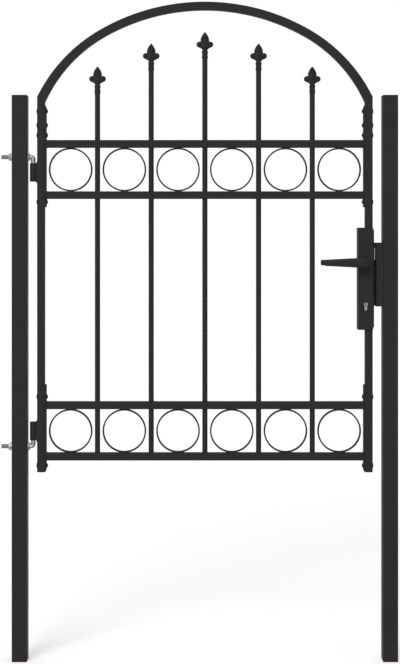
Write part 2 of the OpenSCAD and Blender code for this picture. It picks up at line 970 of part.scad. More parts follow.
hinge_post();
latch_post();
post_caps();
post_feet();
upper_hook_bolt();
lower_hook_bolt();
hook_nuts();
strike_plate();
arch();
hinge_stile();
latch_stile();
stile_plugs();
hinge_upper_bracket();
latch_upper_bracket();
hinge_lower_bracket();
latch_lower_bracket();
hinge_side_bolts();
latch_side_bolts();
for (k = [1 : len(rail_heights)]) rail(k);
for (i = [1 : n_bars]) bar(i - 1);
for (i = [1 : n_bars]) spear(i - 1);
upper_rings();
lower_rings();
upper_lug();
lower_lug();
lock_case();
face_plate();
lock_cylinder();
deadbolt();
spindle();
front_lever();
back_lever();
latch_bolt();
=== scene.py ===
import bmesh
import bpy
import numpy as np
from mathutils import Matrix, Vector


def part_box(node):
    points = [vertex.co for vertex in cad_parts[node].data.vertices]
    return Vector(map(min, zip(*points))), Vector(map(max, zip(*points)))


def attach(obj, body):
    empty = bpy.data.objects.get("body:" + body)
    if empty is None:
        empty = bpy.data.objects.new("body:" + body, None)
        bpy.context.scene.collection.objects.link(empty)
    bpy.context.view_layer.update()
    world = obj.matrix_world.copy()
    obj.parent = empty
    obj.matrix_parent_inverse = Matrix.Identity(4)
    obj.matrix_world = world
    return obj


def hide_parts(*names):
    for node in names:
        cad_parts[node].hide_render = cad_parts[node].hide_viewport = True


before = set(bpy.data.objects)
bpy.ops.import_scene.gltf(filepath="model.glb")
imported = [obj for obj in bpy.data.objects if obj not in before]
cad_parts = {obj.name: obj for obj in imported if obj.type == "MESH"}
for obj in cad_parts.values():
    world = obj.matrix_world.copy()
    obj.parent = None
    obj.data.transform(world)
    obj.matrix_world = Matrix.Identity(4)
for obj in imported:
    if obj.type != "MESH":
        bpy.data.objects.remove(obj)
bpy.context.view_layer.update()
print("frame loaded,", len(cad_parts), "nodes")

pi = np.pi
yAxis = np.array([0, 1, 0])
sides = {"hinge": 1, "latch": -1}  # and the way along x from each to the gate's middle
meshing = {
    "metres": 0.001,  # one millimetre
    "merge": 2e-6,  # points nearer than this many metres are one
    "sharp": 38,  # degrees at an edge above which it is drawn sharp
    "flat": 2,  # degrees below which two faces of a CAD copy are one
}


# Small helpers for shapes

# Lowest and highest corner of a CAD node, in millimetres
def boxOf(node):
    low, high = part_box(node)
    return np.array(low) * 1000, np.array(high) * 1000


# Angles all the way round
def allRound(count):
    return np.arange(count) * 2 * pi / count


# Rows of points become one closed skin: each row is joined to the next all the way round,
# and the first and last rows are filled, or joined to each other when the skin is a loop
def skin(rows, loop=False):
    count, around = rows.shape[:2]
    index = np.arange(count * around).reshape(count, around)
    here, there = (index, np.roll(index, -1, 0)) if loop else (index[:-1], index[1:])
    quads = np.stack([here, np.roll(here, -1, 1), np.roll(there, -1, 1), there], -1)
    corners, sizes = [quads.ravel()], [np.full(here.size, 4)]
    if not loop:
        corners += [index[0, ::-1], index[-1]]
        sizes += [[around], [around]]
    return rows.reshape(-1, 3), np.concatenate(corners), np.concatenate(sizes)


# Several skins in one mesh: the corners of each are moved on by the points before it
def gather(shapes):
    starts = np.cumsum([0] + [len(s[0]) for s in shapes[:-1]])
    points = np.concatenate([s[0] for s in shapes])
    corners = np.concatenate([s[1] + start for s, start in zip(shapes, starts)])
    return points, corners, np.concatenate([s[2] for s in shapes])


# Rows given as (a, b, c) laid out in space so that c runs along the named axis
def lay(rows, axis):
    return rows[..., {"x": [2, 0, 1], "y": [0, 2, 1], "z": [0, 1, 2]}[axis]]


# Closed outline of a rectangle about the origin: four quarter circles of the corner radius,
# each with one more point a little way along the flat on both sides
def roundedRectangle(width, height, radius, steps=5, lead=0.35):
    width, height = (np.asarray(v, float)[..., None, None] for v in (width, height))
    angle = np.arange(4)[:, None] * pi / 2 + np.linspace(0, pi / 2, steps + 1)
    angle = np.concatenate([angle[:, :1], angle, angle[:, -1:]], 1)
    cosine, sine = np.cos(angle), np.sin(angle)
    signs = np.array([[1, 1], [-1, 1], [-1, -1], [1, -1]])[:, None]
    onFlat = np.zeros(steps + 3)
    onFlat[0], onFlat[-1] = lead, -lead
    a = (width / 2 - radius) * signs[..., 0] + radius * cosine + onFlat * sine
    b = (height / 2 - radius) * signs[..., 1] + radius * sine - onFlat * cosine
    points = np.stack([a, b], -1)
    return points.reshape(*points.shape[:-3], -1, 2)


# Closed outline through given corners, each cut back by its own length along both edges and
# bridged by a parabola: (1 - t)^2 before + 2t(1 - t) corner + t^2 after
def roundedPolygon(corners, cutBack, steps=4):
    corners = np.asarray(corners, float)
    cutBack = np.broadcast_to(np.asarray(cutBack, float), len(corners))[:, None]
    t = np.linspace(0, 1, steps + 1)[None, :, None]
    toward = [np.roll(corners, k, 0) - corners for k in (1, -1)]
    before, after = (corners + cutBack * d / np.linalg.norm(d, axis=1, keepdims=True)
                     for d in toward)
    bridge = ((1 - t) ** 2 * before[:, None] + 2 * t * (1 - t) * corners[:, None]
              + t ** 2 * after[:, None])
    return bridge.reshape(-1, 2)


# The outline moved inwards: each point slides along the mitre of its two edges
def inward(outline, distances):
    following = np.roll(outline, -1, 0)
    ahead = following - outline
    ahead /= np.linalg.norm(ahead, axis=1, keepdims=True)
    normal = np.stack([-ahead[:, 1], ahead[:, 0]], -1)
    behind = np.roll(normal, 1, 0)
    area = np.sum(outline[:, 0] * following[:, 1] - outline[:, 1] * following[:, 0])
    mitre = (normal + behind) / (1 + np.sum(normal * behind, -1, keepdims=True)) * np.sign(area)
    return outline + np.asarray(distances, float)[:, None, None] * mitre


# A quarter circle that rounds an edge, as what two sides lose: r (1 - cos a) and r (1 - sin a)
def quarter(radius, steps):
    turn = np.linspace(0, pi / 2, steps + 1)
    return radius * (1 - np.cos(turn)), radius * (1 - np.sin(turn))


# An outline carried straight along an axis; both ends roll in over a quarter circle
def prism(outline, start, end, edge, axis, steps=3, lead=0.3):
    along, inset = quarter(edge, steps)
    along = np.concatenate([[0], along, [edge + lead]])
    inset = np.concatenate([[edge + lead], inset, [0]])
    heights = np.concatenate([start + along, (end - along)[::-1]])
    rows = inward(outline, np.concatenate([inset, inset[::-1]]))
    levels = np.broadcast_to(heights[:, None, None], (*rows.shape[:2], 1))
    return skin(lay(np.concatenate([rows, levels], -1), axis))


# The two corners of a box, moved to another lower and upper height
def between(low, high, bottom, top):
    return np.array([*low[:2], bottom]), np.array([*high[:2], top])


# A box between two corners with rounded long edges, as a square tube with closed ends
def boxTube(low, high, radius, edge, axis):
    a, b, c = {"x": (1, 2, 0), "y": (0, 2, 1), "z": (0, 1, 2)}[axis]
    middle, size = (low + high) / 2, high - low
    outline = roundedRectangle(size[a], size[b], radius) + [middle[a], middle[b]]
    return prism(outline, low[c], high[c], edge, axis)


# Radius and height pairs turned about an axis through the centre
def turned(profile, centre, axis="z", around=48, loop=False):
    angle = allRound(around)
    radius, height = np.asarray(profile, float).T[:, :, None]
    rows = np.stack([radius * np.cos(angle), radius * np.sin(angle), height + 0 * angle], -1)
    return skin(lay(rows, axis) + np.asarray(centre, float), loop)


# Outlines carried along a path: first and second are the directions of their two axes
def carried(outlines, path, first, second, loop=False):
    outlines = np.broadcast_to(outlines, (len(path), *np.shape(outlines)[-2:]))
    first, second = (np.broadcast_to(d, path.shape)[:, None] for d in (first, second))
    return skin(path[:, None] + outlines[..., :1] * first + outlines[..., 1:] * second, loop)


# Points of an arc about (0, z)
def arcAt(radius, angle, z):
    return np.stack([radius * np.cos(angle), z + radius * np.sin(angle)], -1)


# A round outline for each radius
def circles(radius, around):
    return arcAt(radius[:, None], allRound(around), 0)


# Length travelled at each point of a path
def travelled(path):
    return np.concatenate([[0], np.cumsum(np.linalg.norm(np.diff(path, axis=0), axis=1))])


# A path's points moved so that they are evenly spaced
def evenly(path, count):
    length = travelled(path)
    at = np.linspace(0, length[-1], count)
    return np.stack([np.interp(at, length, path[:, k]) for k in range(path.shape[1])], -1)


# A ramp from 0 to 1 that starts and ends level: t^2 (3 - 2t)
def smoothStep(t):
    t = np.clip(t, 0, 1)
    return t * t * (3 - 2 * t)


# A weld run: a round bead along a path, whose radius swells with every dab of the torch,
# r (1 + ripple |sin(pi s / pitch)|). A run that isn't closed narrows towards both ends as the
# square root of the length left.
def weldRun(path, normal, radius, pitch, loop=True, ripple=0.22, around=12):
    length = travelled(path)
    ahead = np.roll(path, -1, 0) - np.roll(path, 1, 0) if loop else np.gradient(path, axis=0)
    ahead /= np.linalg.norm(ahead, axis=1, keepdims=True)
    normal = np.broadcast_to(normal, path.shape)
    size = radius * (1 + ripple * np.abs(np.sin(pi * length / pitch)))
    if not loop:
        left = np.minimum(length, length[-1] - length) / (2 * radius)
        size = size * np.sqrt(np.clip(left, 0.02, 1))  # never quite nothing
    return carried(circles(size, around), path, normal, np.cross(ahead, normal), loop)


# Merges a mesh's doubles, joins faces flatter than the flat angle if one is given, turns the
# faces outwards, and gives the mesh its shading and its finish
def finishMesh(data, finish, sharp, flat=None):
    work = bmesh.new()
    work.from_mesh(data)
    bmesh.ops.remove_doubles(work, verts=work.verts, dist=meshing["merge"])
    if flat:
        bmesh.ops.dissolve_limit(work, angle_limit=np.radians(flat),
                                 verts=work.verts, edges=work.edges)
    bmesh.ops.recalc_face_normals(work, faces=work.faces)
    work.to_mesh(data)
    work.free()
    data.shade_smooth()
    data.set_sharp_from_angle(angle=np.radians(sharp))
    data.materials.clear()
    data.materials.append(finish)


# A new object of this data, in the scene
def addObject(name, data):
    item = bpy.data.objects.new(name, data)
    bpy.context.scene.collection.objects.link(item)
    return item


# Gives a piece its body and hides the CAD nodes that it takes the place of
def settle(piece, body, nodes):
    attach(piece, body)
    if nodes:
        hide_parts(*nodes)


# The finished piece for one or more skins
def makePiece(name, shapes, finish, body, slotName, nodes=(), sharp=meshing["sharp"]):
    points, corners, sizes = gather(shapes)
    data = bpy.data.meshes.new(name)
    data.vertices.add(len(points))
    data.vertices.foreach_set("co", (points * meshing["metres"]).ravel())
    data.loops.add(len(corners))
    data.loops.foreach_set("vertex_index", corners.astype(np.int32))
    data.polygons.add(len(sizes))
    data.polygons.foreach_set("loop_start", (np.cumsum(sizes) - sizes).astype(np.int32))
    data.update(calc_edges=True)
    finishMesh(data, finish, sharp)
    settle(addObject(name, data), body, nodes)


# A CAD node with small openings, copied, merged and given rounded edges
def softened(name, node, finish, body, slotName, width, segments=3):
    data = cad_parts[node].data.copy()
    finishMesh(data, finish, meshing["sharp"], meshing["flat"])
    piece = addObject(name, data)
    bevel = piece.modifiers.new("edges", "BEVEL")
    bevel.width, bevel.segments = width * meshing["metres"], segments
    bevel.limit_method, bevel.angle_limit = "ANGLE", np.radians(meshing["sharp"])
    bevel.harden_normals = True
    settle(piece, body, [node])


# Materials

# An sRGB hex code as a linear colour
def linear(hexCode):
    srgb = np.array([int(hexCode[k:k + 2], 16) for k in (1, 3, 5)]) / 255
    return (*np.where(srgb <= 0.04045, srgb / 12.92, ((srgb + 0.055) / 1.055) ** 2.4), 1.0)


# The node tree of a material or a world, emptied
def emptyTree(owner):
    owner.use_nodes = True
    owner.node_tree.nodes.clear()
    return owner.node_tree


# Adds a node, sets its properties and its inputs, and links those inputs that are sockets
def addNode(tree, kind, inputs=None, settings=None):
    node = tree.nodes.new(kind)
    for key, value in (settings or {}).items():
        setattr(node, key, value)
    for key, value in (inputs or {}).items():
        if isinstance(value, bpy.types.NodeSocket):
            tree.links.new(value, node.inputs[key])
        else:
            node.inputs[key].default_value = value
    return node


# A coated, moulded or plated surface. Colour drifts between two near tones over the drift
# length, roughness between two values over the same clouds, and the grain lifts the surface.
def finishOf(name, look):
    material = bpy.data.materials.new(name)
    tree = emptyTree(material)
    place = addNode(tree, "ShaderNodeTexCoord").outputs["Object"]
    drift = addNode(tree, "ShaderNodeTexNoise", {
        "Vector": place, "Scale": 1000 / look["drift"], "Detail": 3.0, "Roughness": 0.55})
    grain = addNode(tree, "ShaderNodeTexNoise", {
        "Vector": place, "Scale": 1000 / look["grain"], "Detail": 2.0, "Roughness": 0.5})
    # inputs 0, 6 and 7 of the mix are its factor and its two colours
    tone = addNode(tree, "ShaderNodeMix", {
        0: drift.outputs["Fac"], 6: linear(look["deep"]), 7: linear(look["light"])},
        {"data_type": "RGBA"})
    # the clouds' values lie mostly between 0.3 and 0.7
    rough = addNode(tree, "ShaderNodeMapRange", {
        "Value": drift.outputs["Fac"], "From Min": 0.3, "From Max": 0.7,
        "To Min": look["rough"][0], "To Max": look["rough"][1]})
    bump = addNode(tree, "ShaderNodeBump", {
        "Height": grain.outputs["Fac"], "Strength": 1.0,
        "Distance": look["lift"] * meshing["metres"]})
    shader = addNode(tree, "ShaderNodeBsdfPrincipled", {
        "Base Color": tone.outputs[2], "Roughness": rough.outputs["Result"],
        "Normal": bump.outputs["Normal"], "Metallic": look.get("metal", 0.0),
        "IOR": 1.5, "Specular IOR Level": look.get("gloss", 0.5)})
    addNode(tree, "ShaderNodeOutputMaterial", {"Surface": shader.outputs[0]})
    return material


# Satin black polyester powder, baked on steel tube: even and dark, with a soft orange peel.
# The peel is about 2 mm across on the real coat and is drawn a little coarser to show.
powderCoat = finishOf("powderCoatedSteel", {
    "deep": "#181818", "light": "#1f1f1f", "drift": 60, "grain": 3.0, "lift": 0.012,
    "rough": (0.6, 0.7), "gloss": 0.2})
# The same powder over the lock's sheet steel, from another batch: a trace greener
lockCoat = finishOf("powderCoatedLockSteel", {
    "deep": "#161918", "light": "#1c1f1e", "drift": 45, "grain": 2.4, "lift": 0.01,
    "rough": (0.6, 0.7), "gloss": 0.2})
# Powder over sand-cast iron: the casting's grain shows through as a rough, duller skin
coatedCasting = finishOf("coatedCastIron", {
    "deep": "#151515", "light": "#202020", "drift": 9, "grain": 1.4, "lift": 0.06,
    "rough": (0.62, 0.74), "gloss": 0.2})
# Bright zinc plate on hook bolts and nuts: grey metal with faint cloudy passivation
zincPlate = finishOf("zincPlatedSteel", {
    "deep": "#868686", "light": "#aaaaaa", "drift": 7, "grain": 0.9, "lift": 0.015,
    "rough": (0.3, 0.46), "metal": 1.0})
# Polished nickel over brass on the key plug
nickelPlate = finishOf("nickelPlatedBrass", {
    "deep": "#8e8e8c", "light": "#a4a4a2", "drift": 5, "grain": 0.7, "lift": 0.006,
    "rough": (0.22, 0.34), "metal": 1.0})
# Injection-moulded polyethylene of caps and plugs: matt, with a fine spark-eroded grain
blackPlastic = finishOf("mouldedPolyethylene", {
    "deep": "#141414", "light": "#1a1a1a", "drift": 30, "grain": 0.8, "lift": 0.02,
    "rough": (0.6, 0.7), "gloss": 0.25})
# Glass-filled nylon of the levers: satin, a little lighter than the coat beside it
leverNylon = finishOf("mouldedNylon", {
    "deep": "#131514", "light": "#191b1a", "drift": 25, "grain": 0.9, "lift": 0.02,
    "rough": (0.55, 0.65), "gloss": 0.2})

# What most pieces are: their finish, their body and their slot
postSteel = (powderCoat, "posts", "coated_steel")
postZinc = (zincPlate, "posts", "zinc_plate")
leafSteel = (powderCoat, "leaf", "coated_steel")
leafZinc = (zincPlate, "leaf", "zinc_plate")
leafLock = (lockCoat, "leaf", "lock_coating")
print("materials ready")

# Posts

postLook = {
    "cornerRadius": 2.2,  # outer radius of cold-formed 40 mm tube
    "endEdge": 0.4, "footEdge": 0.5, "capEdge": 0.6,
    "capCrown": 0.5,  # how much lower the cap's rim is than its middle
}


# A cap's outside: a short wall, a rounded rim, and a top that rises to the middle as
# crown (1 - s^2), where s is the distance from the middle as a share of the half width
def capShape(low, high, look, rimSteps=5, topSteps=8):
    outline = roundedRectangle(high[0] - low[0], high[1] - low[1], look["cornerRadius"])
    aside, below = quarter(look["capEdge"], rimSteps)
    rim = high[2] - look["capCrown"]
    s = np.linspace(1, 0, topSteps + 1)[1:]
    level = np.concatenate([[low[2]], rim - below, rim + look["capCrown"] * (1 - s ** 2)])
    edge = 1 - aside / (high[0] - low[0]) * 2
    scale = np.concatenate([[1], edge, edge[-1] * s])
    rows = np.empty((len(level), len(outline), 3))
    rows[..., :2] = outline * scale[:, None, None] + (low + high)[:2] / 2
    rows[..., 2] = level[:, None]
    return skin(rows)


postBoxes = [boxOf(f"{side}_post") for side in sides]
footBottom, capTop = boxOf("post_feet")[0][2], boxOf("post_caps")[1][2]
capShapes, footShapes = [], []
for side, (low, high) in zip(sides, postBoxes):
    makePiece(f"{side}PostTube",
              [boxTube(low, high, postLook["cornerRadius"], postLook["endEdge"], "z")],
              *postSteel, [f"{side}_post"])
    capShapes.append(capShape(*between(low, high, high[2], capTop), postLook))
    footShapes.append(boxTube(*between(low, high, footBottom, low[2]),
                              postLook["cornerRadius"], postLook["footEdge"], "z"))
makePiece("postCaps", capShapes, blackPlastic, "posts", "black_plastic", ["post_caps"])
makePiece("postFeet", footShapes, *postSteel, ["post_feet"])
print("posts ready")

# Hook bolts

hook = {
    "diameter": 12, "bend": 6.5, "pitch": 1.75, "threadDepth": 0.8, "chamfer": 1.1,
    "flankPower": 0.8,  # below 1 the thread's flanks are hollow
    "plainPast": 6, "threadPast": 5,  # how far outside the post each part ends
    "flats": 19, "innerNut": 6.5, "outerNut": 8, "washer": (24, 2),
    # the pin's rounded end: distance from the end, and how much thinner the pin is there
    "tip": ((2.0, 0), (1.0, 0.15), (0.5, 0.45), (0.15, 0.95), (0, 1.6)),
}
nutFace = {  # a nut's chamfer, from its middle outwards
    "depth": (0, 0, 0.1, 0.25, 0.45, 0.7, 1.0),
    "cone": (0.955, 0.985, 1.03, 1.075, 1.115, 1.16),  # radius in half widths across flats
}
lugLook = {
    "diameter": 18, "bore": 12.2, "rim": 1.1, "mouthEdge": 0.5, "boreShown": 8, "lead": 0.4,
    "web": 11, "swell": 0.125, "swellStep": 3.4,
    "webRoot": 0.2,  # where the weld ends inside the sleeve, in radii of the bore
    "webSunk": 0.6,  # how far inside the stile it starts
    "runout": (9, 7),  # how far it runs on past the sleeve's mouth and blind end
    "runoutFill": (0.4, 0.45),  # and its share of the whole depth there
    "webPower": 0.8,  # below 1 its section is fuller than an ellipse
}


# A skin round a line along x at the height z, with a radius at each x and angle
def roundX(x, radius, angle, z):
    return skin(np.stack([x + 0 * angle, radius * np.cos(angle), z + radius * np.sin(angle)], -1))


# A screw thread along x: the radius falls by the depth along a helix,
# r = R - depth (1 - |2 frac(x / pitch - angle / 2 pi) - 1|)^power, and tapers at its start
def threadedRod(start, end, centreZ, look, around=40, perTurn=8):
    x = np.arange(start, end + 0.01, look["pitch"] / perTurn)[:, None]
    angle = allRound(around)[None]
    wave = np.abs(2 * np.mod(x / look["pitch"] - angle / (2 * pi), 1) - 1)
    radius = look["diameter"] / 2 - look["threadDepth"] * (1 - wave) ** look["flankPower"]
    radius = np.minimum(radius, look["diameter"] / 2 - look["chamfer"] + (x - start))
    return roundX(x, radius, angle, centreZ)


# A hexagon nut along x: at each angle the radius is that of the hexagon, or that of the
# chamfer's cone where the cone is smaller
def hexNut(start, end, centreZ, flats, bore, around=96):
    angle = allRound(around)
    face = np.mod(angle + pi / 6 - pi / 2, pi / 3) - pi / 6  # two corners point up and down
    corner = flats / 2 / np.cos(face)
    depth = np.array(nutFace["depth"])
    cone = np.array([bore / (flats / 2), *nutFace["cone"]]) * flats / 2
    x = np.concatenate([start + depth, (end - depth)[::-1]])
    limit = np.concatenate([cone, cone[::-1]])
    return roundX(x[:, None], np.minimum(limit[:, None], corner), angle, centreZ)


# A washer's section: its rim rounded over a quarter of the thickness on both sides
def washerProfile(diameter, thickness, bore):
    turn = np.linspace(0, pi / 2, 4)
    edge, radius = thickness / 4, diameter / 2
    rim = np.stack([radius - edge + edge * np.sin(turn), edge * np.cos(turn) - edge], -1)
    rim = np.concatenate([[[bore, 0]], rim])
    return np.concatenate([rim, rim[::-1] * [1, -1] - [0, thickness]])


postLow, postHigh = postBoxes[0]
nutShapes = []
for end, up in (("upper", -1), ("lower", 1)):
    low, high = boxOf(f"{end}_hook_bolt")
    radius, bend = hook["diameter"] / 2, hook["bend"]
    shaftZ = high[2] - radius if up < 0 else low[2] + radius
    tipZ = low[2] if up < 0 else high[2]
    pinX = high[0] - radius
    turn = np.linspace(0, pi / 2, 15)
    fromTip, tipInset = np.array(hook["tip"]).T
    path = np.concatenate([
        [[postLow[0] - hook["plainPast"], 0, shaftZ]],
        np.stack([pinX - bend + bend * np.sin(turn), 0 * turn,
                  shaftZ + up * bend - up * bend * np.cos(turn)], -1),
        [[pinX, 0, z] for z in tipZ - up * fromTip]])
    ahead = np.gradient(path, axis=0)
    ahead /= np.linalg.norm(ahead, axis=1, keepdims=True)
    inset = np.concatenate([np.zeros(len(turn) + 1), tipInset])
    rod = carried(circles(radius - inset, 32), path, np.cross(ahead, yAxis), yAxis)
    thread = threadedRod(low[0], postLow[0] - hook["threadPast"], shaftZ, hook)
    makePiece(f"{end}HookBolt", [rod, thread], *postZinc, [f"{end}_hook_bolt"], sharp=50)
    outer = postLow[0] - hook["washer"][1]
    nutShapes += [
        hexNut(postHigh[0], postHigh[0] + hook["innerNut"], shaftZ, hook["flats"], radius),
        hexNut(outer - hook["outerNut"], outer, shaftZ, hook["flats"], radius),
        turned(washerProfile(*hook["washer"], radius), [postLow[0], 0, shaftZ], "x"),
    ]
makePiece("hookBoltNuts", nutShapes, *postZinc, ["hook_nuts"], sharp=32)
print("hook bolts ready")


# A lug: a sleeve turned about the pin's line, hollow at its mouth, with a rippled weld that
# fills the corner to the stile. The weld's depth from the stile grows from nothing at its
# ends to its share of the whole depth at the sleeve's ends, and its width swells with each
# dab: half width (1 + swell |sin(pi z / step)|).
def lugShapes(low, high, mouthUp, stileX, look, rows=70, across=17):
    radius, rim, bore = look["diameter"] / 2, look["rim"], look["bore"] / 2
    runMouth, runBlind = look["runout"]
    fillMouth, fillBlind = look["runoutFill"]
    into = -1 if mouthUp else 1
    start, end = (high[2], low[2]) if mouthUp else (low[2], high[2])
    mouth, blind = start + into * runMouth, end - into * runBlind
    length = abs(blind - mouth)
    axisX = low[0] + radius
    turn = np.linspace(0, pi / 2, 5)
    outer = np.stack([radius - rim + rim * np.sin(turn), rim - rim * np.cos(turn)], -1)
    closed = np.stack([radius - rim + rim * np.cos(turn), length - rim + rim * np.sin(turn)], -1)
    profile = np.concatenate([
        [[0.0, look["boreShown"]], [bore, look["boreShown"]], [bore, look["mouthEdge"]],
         [bore + look["mouthEdge"], 0]],
        outer, closed, [[radius - rim - look["lead"], length], [0.0, length]]])
    profile[:, 1] *= into
    sleeve = turned(profile, [axisX, 0, mouth])
    z = np.linspace(-runMouth, length + runBlind, rows)
    deep = stileX - axisX - bore * look["webRoot"]
    ease = np.clip(np.minimum((z + runMouth) / runMouth, (length + runBlind - z) / runBlind), 0, 1)
    share = np.where(z < 0, ease * fillMouth, np.where(z > length, ease * fillBlind, 1))
    depth = np.maximum(deep * share, 0.05)  # never quite nothing
    half = look["web"] / 2 * np.sqrt(np.clip(ease, 0.08, 1))
    half = half * (1 + look["swell"] * np.abs(np.sin(pi * z / look["swellStep"])))
    u = np.linspace(0, pi, across)
    arc = np.stack([np.sin(u) ** look["webPower"], np.cos(u)], -1)
    weld = np.empty((rows, across, 3))
    weld[..., 0] = stileX + look["webSunk"] - (depth[:, None] + look["webSunk"]) * arc[None, :, 0]
    weld[..., 1] = half[:, None] * arc[None, :, 1]
    weld[..., 2] = (mouth + into * z)[:, None]
    return [sleeve, skin(weld)]


stileLow, stileHigh = boxOf("hinge_stile")
for end, mouthUp in (("upper", True), ("lower", False)):
    makePiece(f"{end}HingeLug",
              lugShapes(*boxOf(f"{end}_lug"), mouthUp, stileLow[0], lugLook),
              *leafSteel, [f"{end}_lug"], sharp=55)
print("lugs ready")

# Stiles and rails

tubeLook = {"width": 20, "cornerRadius": 1.8, "endEdge": 0.35, "plugEdge": 0.6}
weldLook = {
    "radius": 1.1, "pitch": 3.2, "inset": 0.4, "points": 90,  # round a rail's end
    "collar": 1.1, "collarSunk": (0.4, 0.3),  # at a bar; its hidden edge in bar and rail
}


# One length of the leaf's square tube
def leafTube(low, high, axis):
    return boxTube(low, high, tubeLook["cornerRadius"], tubeLook["endEdge"], axis)


makePiece("hingeStileTube", [leafTube(stileLow, stileHigh, "z")], *leafSteel, ["hinge_stile"])
latchLow, latchHigh = boxOf("latch_stile")
caseLow, caseHigh = boxOf("lock_case")
makePiece("latchStileTubes",
          [leafTube(*between(latchLow, latchHigh, latchLow[2], caseLow[2]), "z"),
           leafTube(*between(latchLow, latchHigh, caseHigh[2], latchHigh[2]), "z")],
          *leafSteel, ["latch_stile"])

plugBottom = boxOf("stile_plugs")[0][2]
makePiece("stilePlugs", [
    boxTube(np.array([*low[:2], plugBottom]),
            np.array([low[0] + tubeLook["width"], high[1], low[2]]),
            tubeLook["cornerRadius"], tubeLook["plugEdge"], "z")
    for low, high in ((stileLow, stileHigh), (latchLow, latchHigh))
], blackPlastic, "leaf", "black_plastic", ["stile_plugs"])

railBoxes = [boxOf(f"rail_{k}") for k in range(1, 5)]
for k, (low, high) in enumerate(railBoxes, 1):
    makePiece(f"railTube{k}", [leafTube(low, high, "x")], *leafSteel, [f"rail_{k}"])

# Fillet welds that hold each rail to its bracket: a rippled run round the rail's outline
runShapes = []
for low, high in railBoxes:
    square = roundedRectangle(high[1] - low[1], high[2] - low[2], tubeLook["cornerRadius"])
    outline = evenly(np.concatenate([square, square[:1]]), weldLook["points"] + 1)[:-1]
    outline = outline + [0, (low[2] + high[2]) / 2]
    for x in (low[0] + weldLook["inset"], high[0] - weldLook["inset"]):
        path = np.concatenate([np.full((len(outline), 1), x), outline], 1)
        runShapes.append(weldRun(path, np.array([1.0, 0, 0]), weldLook["radius"],
                                 weldLook["pitch"]))
makePiece("railWelds", runShapes, *leafSteel, sharp=60)
print("stiles and rails ready")

# Arch

archLook = {
    "rise": 252, "band": 21.5, "flatness": 1.075, "crownHalfAngle": 30,
    "notchDrop": 15,  # how much lower the inside corner is than the outside one
    "cornerRadius": 2.0, "joint": 0.5,  # the joint: how much narrower the tube is at its ends
    "points": 161, "finePoints": 900,  # on each curve, after and before it is spaced evenly
    "legFoot": (0, 0.5, 2),  # rows near a leg's lower end, above it
    "legTop": (0.985, 0.995),  # rows near its upper end, as shares of its height
}


# One curve of the arch, from its left end to its right: a crown arc about (0, centreZ) that
# spans the crown angle, and on each side a haunch arc that leaves it smoothly and passes
# through the given end point
def archCurve(radius, centreZ, endPoint, look):
    half = np.radians(look["crownHalfAngle"])
    direction = np.array([np.sin(half), np.cos(half)])
    to = np.array([endPoint[0], endPoint[1] - centreZ])
    gap = to - radius * direction
    haunch = gap @ gap / (2 * (radius - to @ direction))
    middle = (radius - haunch) * direction
    last = np.arctan2(to[0] - middle[0], to[1] - middle[1])
    angle = np.linspace(0, last, look["finePoints"])
    spin = np.stack([np.sin(angle), np.cos(angle)], -1)
    curve = np.where(angle[:, None] <= half, radius * spin, middle + haunch * spin)
    curve = np.concatenate([curve[:0:-1] * [-1, 1], curve]) + [0, centreZ]
    return evenly(curve, look["points"])


# A curve of the arch with its two straight legs, which stand at footZ and end where it starts
def archLine(radius, centreZ, endPoint, footZ, look):
    curve = archCurve(radius, centreZ, endPoint, look)
    z = np.concatenate([footZ + np.array(look["legFoot"]),
                        footZ + (endPoint[1] - footZ) * np.array(look["legTop"])])
    leg = np.stack([np.full(len(z), endPoint[0]), z], -1)
    return np.concatenate([leg * [-1, 1], curve, leg[::-1]])


archLow, archHigh = boxOf("arch")
midX, halfWidth = (archLow[0] + archHigh[0]) / 2, (archHigh[0] - archLow[0]) / 2
rise, band = archLook["rise"], archLook["band"]
cornerZ = archHigh[2] - rise
crownRadius = archLook["flatness"] * (halfWidth ** 2 + rise ** 2) / (2 * rise)
crownZ = archHigh[2] - crownRadius
outerLine = archLine(crownRadius, crownZ, [halfWidth, cornerZ], archLow[2], archLook)
innerLine = archLine(crownRadius - band, crownZ,
                     [halfWidth - tubeLook["width"], cornerZ - archLook["notchDrop"]],
                     archLow[2], archLook)
across = outerLine - innerLine
width = np.linalg.norm(across, axis=1)
joint = np.zeros(len(width))
joint[[0, -1]] = archLook["joint"]
outlines = roundedRectangle(width - joint, tubeLook["width"] - joint, archLook["cornerRadius"])
middle = (outerLine + innerLine) / 2 + [midX, 0]
path = np.stack([middle[:, 0], 0 * width, middle[:, 1]], -1)
outward = np.stack([across[:, 0], 0 * width, across[:, 1]], -1) / width[:, None]
makePiece("archTube", [carried(outlines, path, outward, yAxis)], *leafSteel, ["arch"])
print("arch ready")

# Bars

# paint and weld fill the corner where a bar enters a rail, except under the lowest rail
collarFaces = [(railBoxes[0][1][2], 1)]
for low, high in railBoxes[1:]:
    collarFaces += [(high[2], 1), (low[2], -1)]
collar, (inBar, inRail) = weldLook["collar"], weldLook["collarSunk"]
upward, outward = quarter(collar, 5)
collarShapes = []
for k in range(1, 6):
    low, high = boxOf(f"bar_{k}")
    radius, centreX = (high[0] - low[0]) / 2, (low[0] + high[0]) / 2
    makePiece(f"roundBar{k}", [turned([[0, low[2]], [radius, low[2]], [radius, high[2]],
                                       [0, high[2]]], [centreX, 0, 0])],
              *leafSteel, [f"bar_{k}"])
    profile = np.concatenate([[[radius - inBar, -inRail], [radius + collar, -inRail]],
                              np.stack([radius + outward, upward], -1),
                              [[radius - inBar, collar]]])
    collarShapes += [turned(profile * [1, up], [centreX, 0, z], around=40, loop=True)
                     for z, up in collarFaces]
makePiece("barCollars", collarShapes, *leafSteel, sharp=60)

# Spears

